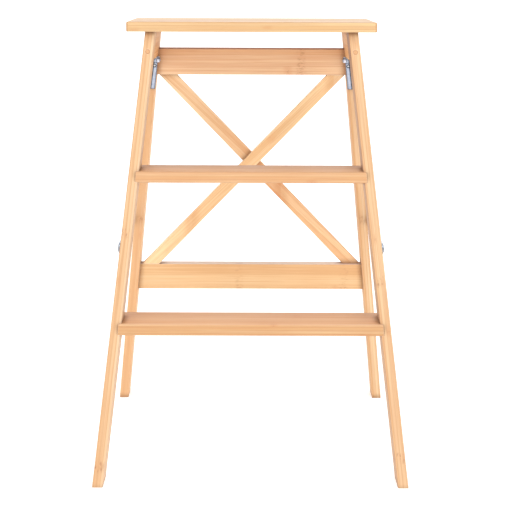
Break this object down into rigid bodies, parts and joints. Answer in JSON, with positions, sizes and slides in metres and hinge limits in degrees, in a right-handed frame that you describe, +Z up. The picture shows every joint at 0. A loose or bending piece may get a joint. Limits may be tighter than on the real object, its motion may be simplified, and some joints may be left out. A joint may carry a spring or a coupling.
{
  "type": "step ladder",
  "caption": "Folding bamboo step ladder with flat treads, a wide top board, a cross-braced rear frame, steel hinges and side stays.",
  "frame": {"origin": "on the floor, under the middle of the open ladder", "axes": "+X to the right seen from the climbing side, +Y from the front feet to the rear feet, +Z up"},
  "size_m": [0.4874, 0.529, 0.7],
  "materials": {
    "bamboo": "satin clear lacquer",
    "beech": "raw",
    "zinc_steel": "bright zinc plate",
    "screw_steel": "zinc plate"
  },
  "bodies": {
    "front_frame": {"left_stile": "bamboo", "right_stile": "bamboo", "lower_tread": "bamboo", "upper_tread": "bamboo", "top_board": "bamboo", "left_cleat": "bamboo", "right_cleat": "bamboo", "tread_screws": "screw_steel", "cleat_screws": "screw_steel", "screw_plugs": "bamboo", "board_screws": "screw_steel", "left_hinge_cleat_leaf": "zinc_steel", "right_hinge_cleat_leaf": "zinc_steel", "left_hinge_pin": "zinc_steel", "right_hinge_pin": "zinc_steel", "hinge_cleat_screws": "screw_steel", "front_stay_bolts": "zinc_steel", "front_stay_washers": "zinc_steel"},
    "rear_frame": {"left_rear_leg": "bamboo", "right_rear_leg": "bamboo", "upper_rail": "bamboo", "lower_rail": "bamboo", "front_brace": "bamboo", "rear_brace": "bamboo", "rail_dowels": "beech", "brace_dowels": "beech", "left_hinge_leg_leaf": "zinc_steel", "right_hinge_leg_leaf": "zinc_steel", "hinge_leg_screws": "screw_steel", "rear_stay_bolts": "zinc_steel", "rear_stay_bushes": "zinc_steel"},
    "left_front_stay": {"left_front_stay": "zinc_steel", "left_front_stay_rivet": "zinc_steel"},
    "left_rear_stay": {"left_rear_stay": "zinc_steel", "left_rear_stay_rivet": "zinc_steel"},
    "right_front_stay": {"right_front_stay": "zinc_steel", "right_front_stay_rivet": "zinc_steel"},
    "right_rear_stay": {"right_rear_stay": "zinc_steel", "right_rear_stay_rivet": "zinc_steel"}
  },
  "joints": [
    {"name": "fold", "type": "hinge", "parent": "front_frame", "child": "rear_frame", "pos_m": [0, 0.13524, 0.631], "axis": [-1, 0, 0], "range_deg": [0, 36.5]},
    {"name": "left_front_stay_pivot", "type": "hinge", "parent": "front_frame", "child": "left_front_stay", "pos_m": [-0.21, -0.10529, 0.345], "axis": [1, 0, 0], "range_deg": [0, 75.1]},
    {"name": "left_rear_stay_pivot", "type": "hinge", "parent": "rear_frame", "child": "left_rear_stay", "pos_m": [-0.212, 0.19897, 0.345], "axis": [-1, 0, 0], "range_deg": [0, 21.6]},
    {"name": "right_front_stay_pivot", "type": "hinge", "parent": "front_frame", "child": "right_front_stay", "pos_m": [0.21, -0.10529, 0.345], "axis": [1, 0, 0], "range_deg": [0, 75.1]},
    {"name": "right_rear_stay_pivot", "type": "hinge", "parent": "rear_frame", "child": "right_rear_stay", "pos_m": [0.212, 0.19897, 0.345], "axis": [-1, 0, 0], "range_deg": [0, 21.6]}
  ],
  "couplings": [
    {"joint": "left_front_stay_pivot", "follows": "fold", "ratio": 2.0455},
    {"joint": "left_rear_stay_pivot", "follows": "fold", "ratio": 0.57952},
    {"joint": "right_front_stay_pivot", "follows": "fold", "ratio": 2.0455},
    {"joint": "right_rear_stay_pivot", "follows": "fold", "ratio": 0.57952}
  ]
}
